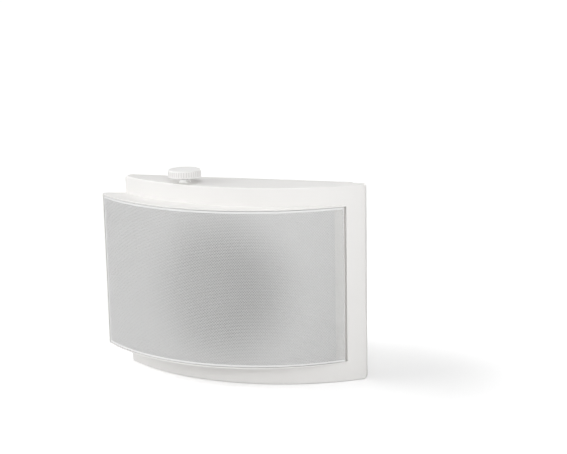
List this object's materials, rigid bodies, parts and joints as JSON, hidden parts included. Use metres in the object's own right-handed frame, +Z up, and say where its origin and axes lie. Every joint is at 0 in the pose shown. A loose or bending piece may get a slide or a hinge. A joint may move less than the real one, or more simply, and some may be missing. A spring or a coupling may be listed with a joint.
{
  "type": "wall speaker",
  "caption": "Bow-fronted white wall speaker with a raised, overhanging curved grille, a driver behind it and a rotary level knob on one long side.",
  "frame": {"origin": "middle of the housing's length, on its lower long side, at the plane between housing and rear cover", "axes": "+X along the housing from the overhanging end to the plain end, the front faces -Y and the wall side +Y, +Z up"},
  "size_m": [0.266, 0.0653, 0.2026],
  "materials": {
    "housing_plastic": "fine moulded texture",
    "grille_paint": "matt powder coat on perforated sheet",
    "grille_scrim": "thin dust cloth",
    "knob_plastic": "satin",
    "bright_steel": "zinc plated",
    "control_case": "dull plated can",
    "basket_steel": "dull zinc plating",
    "cone_paper": "pressed paper",
    "surround_rubber": "matt rubber",
    "gasket_foam": "closed-cell foam",
    "spider_cloth": "resin-dipped weave",
    "former_foil": "plain foil",
    "coil_wire": "lacquered copper",
    "ferrite": "ground ferrite",
    "strip_board": "phenolic board",
    "tag_brass": "tinned",
    "terminal_plastic": "satin"
  },
  "bodies": {
    "housing": {"front_housing": "housing_plastic", "rear_cover": "housing_plastic", "grille": "grille_paint", "grille_cloth": "grille_scrim", "control_body": "control_case", "control_washer": "bright_steel", "control_nut": "bright_steel", "driver_basket": "basket_steel", "driver_gasket": "gasket_foam", "driver_screws": "bright_steel", "surround": "surround_rubber", "spider": "spider_cloth", "top_plate": "bright_steel", "magnet": "ferrite", "yoke": "bright_steel", "tag_strip": "strip_board", "solder_tags": "tag_brass", "terminal_block": "terminal_plastic", "terminal_screws": "tag_brass", "cover_screws": "bright_steel"},
    "knob": {"volume_knob": "knob_plastic", "control_shaft": "bright_steel"},
    "cone": {"cone": "cone_paper", "dust_cap": "cone_paper", "coil_former": "former_foil", "voice_coil": "coil_wire"}
  },
  "joints": [
    {"name": "knob_turn", "type": "hinge", "parent": "housing", "child": "knob", "pos_m": [-0.0495, -0.02835, 0.196], "axis": [0, 0, 1], "range_deg": [-150, 150]},
    {"name": "cone_stroke", "type": "slide", "parent": "housing", "child": "cone", "axis": [0, -1, 0], "range_m": [-0.0025, 0.0025], "stiffness_N_per_m": 1000, "deforming": ["surround", "spider"]}
  ]
}
